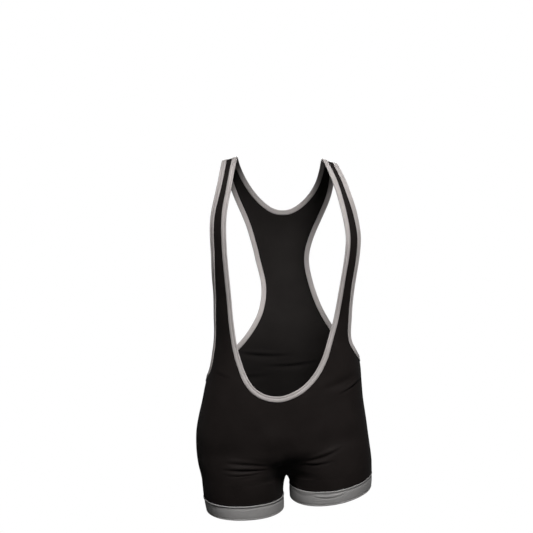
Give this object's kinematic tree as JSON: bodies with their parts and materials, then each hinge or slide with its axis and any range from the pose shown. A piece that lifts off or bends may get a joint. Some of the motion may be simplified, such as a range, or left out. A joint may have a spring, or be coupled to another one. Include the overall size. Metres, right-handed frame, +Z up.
{
  "type": "bodysuit",
  "caption": "Sleeveless low-cut sports bodysuit with a deep U neck, bound neck and armholes, racer back and short banded legs, filled out as if worn.",
  "frame": {"origin": "midway between the tops of the two straps, at the shoulders that carry the suit", "axes": "+Z up the wearer's body, front towards -Y, the wearer's left at +X"},
  "size_m": [0.3568, 0.2272, 0.7196],
  "materials": {
    "jersey_black": "smooth stretch jersey with a soft low sheen",
    "binding_silver": "fine ribbed elastic binding, matt",
    "band_grey": "smooth elastic band, matt"
  },
  "bodies": {
    "root": {"front_panel": "jersey_black", "back_panel": "jersey_black", "neck_binding": "binding_silver", "armhole_binding_left": "binding_silver", "armhole_binding_right": "binding_silver", "leg_band_left": "band_grey", "leg_band_right": "band_grey"}
  },
  "joints": []
}
